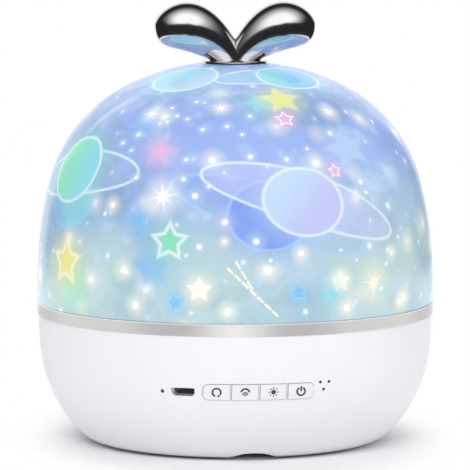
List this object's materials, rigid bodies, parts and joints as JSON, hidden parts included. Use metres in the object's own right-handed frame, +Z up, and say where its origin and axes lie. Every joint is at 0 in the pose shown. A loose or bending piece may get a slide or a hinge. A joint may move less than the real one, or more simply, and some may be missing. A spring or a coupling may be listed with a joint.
{
  "type": "star night light projector",
  "caption": "Egg-shaped star projector night light: white bowl with keys, silver ring, lift-off printed milky dome with a two-leaf sprout, film dome turned by a motor.",
  "frame": {"origin": "centre of the outline on the surface the lamp stands on", "axes": "+Z up through the sprout, -Y out of the key panel, +X to the right of the keys"},
  "size_m": [0.13, 0.13, 0.1439],
  "materials": {
    "white_shell": "satin white moulded plastic",
    "white_key": "satin white moulded plastic",
    "silver_ring": "satin silver",
    "milky_dome": "translucent milky plastic with a star and planet print",
    "plated_sprout": "bright dark plating",
    "inner_plastic": "moulded white plastic",
    "gear_plastic": "natural gear plastic",
    "clear_dome": "clear moulded plastic",
    "printed_film": "printed projection film",
    "clear_lens": "clear lens",
    "steel": "zinc plated",
    "rubber": "pale rubber",
    "circuit_board": "green solder mask",
    "black_part": "black moulded parts",
    "lamp_chip": "lamp chips",
    "smoked_pipe": "dark light pipe",
    "cell_wrap": "shrink wrapped cell",
    "lead_red": "insulated lead"
  },
  "bodies": {
    "base": {"base_shell": "white_shell", "bottom_cover": "white_shell", "cover_screws": "steel", "rubber_feet": "rubber", "trim_ring": "silver_ring", "deck_plate": "inner_plastic", "deck_screws": "steel", "idler_pin": "steel", "drive_motor": "steel", "motor_screws": "steel", "lamp_post": "inner_plastic", "lamp_screws": "steel", "led_board": "circuit_board", "led_chips": "lamp_chip", "lens_holder": "black_part", "lamp_lens": "clear_lens", "main_board": "circuit_board", "board_screws": "steel", "board_parts": "black_part", "usb_socket": "steel", "usb_tongue": "black_part", "charge_light": "lamp_chip", "light_pipe": "smoked_pipe", "sounder": "black_part", "battery_cell": "cell_wrap", "battery_holder": "black_part", "battery_contacts": "steel", "battery_leads": "lead_red", "motor_leads": "lead_red", "lamp_leads": "lead_red", "key_switches": "black_part"},
    "outer_cover": {"outer_dome": "milky_dome", "sprout_base": "plated_sprout", "left_leaf": "plated_sprout", "right_leaf": "plated_sprout", "sprout_screw": "steel", "sprout_washer": "steel"},
    "turntable": {"turntable": "gear_plastic"},
    "film_dome": {"film_dome": "clear_dome", "star_film": "printed_film"},
    "idler_gear": {"idler_gear": "gear_plastic"},
    "motor_pinion": {"motor_pinion": "gear_plastic", "motor_shaft": "steel"},
    "rotate_key": {"rotate_button": "white_key", "rotate_plunger": "black_part"},
    "colour_key": {"colour_button": "white_key", "colour_plunger": "black_part"},
    "brightness_key": {"brightness_button": "white_key", "brightness_plunger": "black_part"},
    "power_key": {"power_button": "white_key", "power_plunger": "black_part"}
  },
  "joints": [
    {"name": "cover_lift", "type": "slide", "parent": "base", "child": "outer_cover", "axis": [0, 0, 1], "range_m": [0, 0.085]},
    {"name": "turntable_spin", "type": "hinge", "parent": "base", "child": "turntable", "pos_m": [0, 0, 0.0446], "axis": [0, 0, 1], "continuous": true},
    {"name": "film_dome_lift", "type": "slide", "parent": "turntable", "child": "film_dome", "axis": [0, 0, 1], "range_m": [0, 0.015]},
    {"name": "idler_spin", "type": "hinge", "parent": "base", "child": "idler_gear", "pos_m": [0, 0.0336, 0.0425], "axis": [0, 0, 1], "continuous": true},
    {"name": "pinion_spin", "type": "hinge", "parent": "base", "child": "motor_pinion", "pos_m": [0.01018, 0.04378, 0.0425], "axis": [0, 0, 1], "continuous": true},
    {"name": "rotate_press", "type": "slide", "parent": "base", "child": "rotate_key", "axis": [0, 1, 0], "range_m": [0, 0.0005], "stiffness_N_per_m": 1500},
    {"name": "colour_press", "type": "slide", "parent": "base", "child": "colour_key", "axis": [0, 1, 0], "range_m": [0, 0.0005], "stiffness_N_per_m": 1500},
    {"name": "brightness_press", "type": "slide", "parent": "base", "child": "brightness_key", "axis": [0, 1, 0], "range_m": [0, 0.0005], "stiffness_N_per_m": 1500},
    {"name": "power_press", "type": "slide", "parent": "base", "child": "power_key", "axis": [0, 1, 0], "range_m": [0, 0.0005], "stiffness_N_per_m": 1500}
  ],
  "couplings": [
    {"joint": "idler_spin", "follows": "turntable_spin", "ratio": -2.5},
    {"joint": "pinion_spin", "follows": "turntable_spin", "ratio": 5}
  ]
}
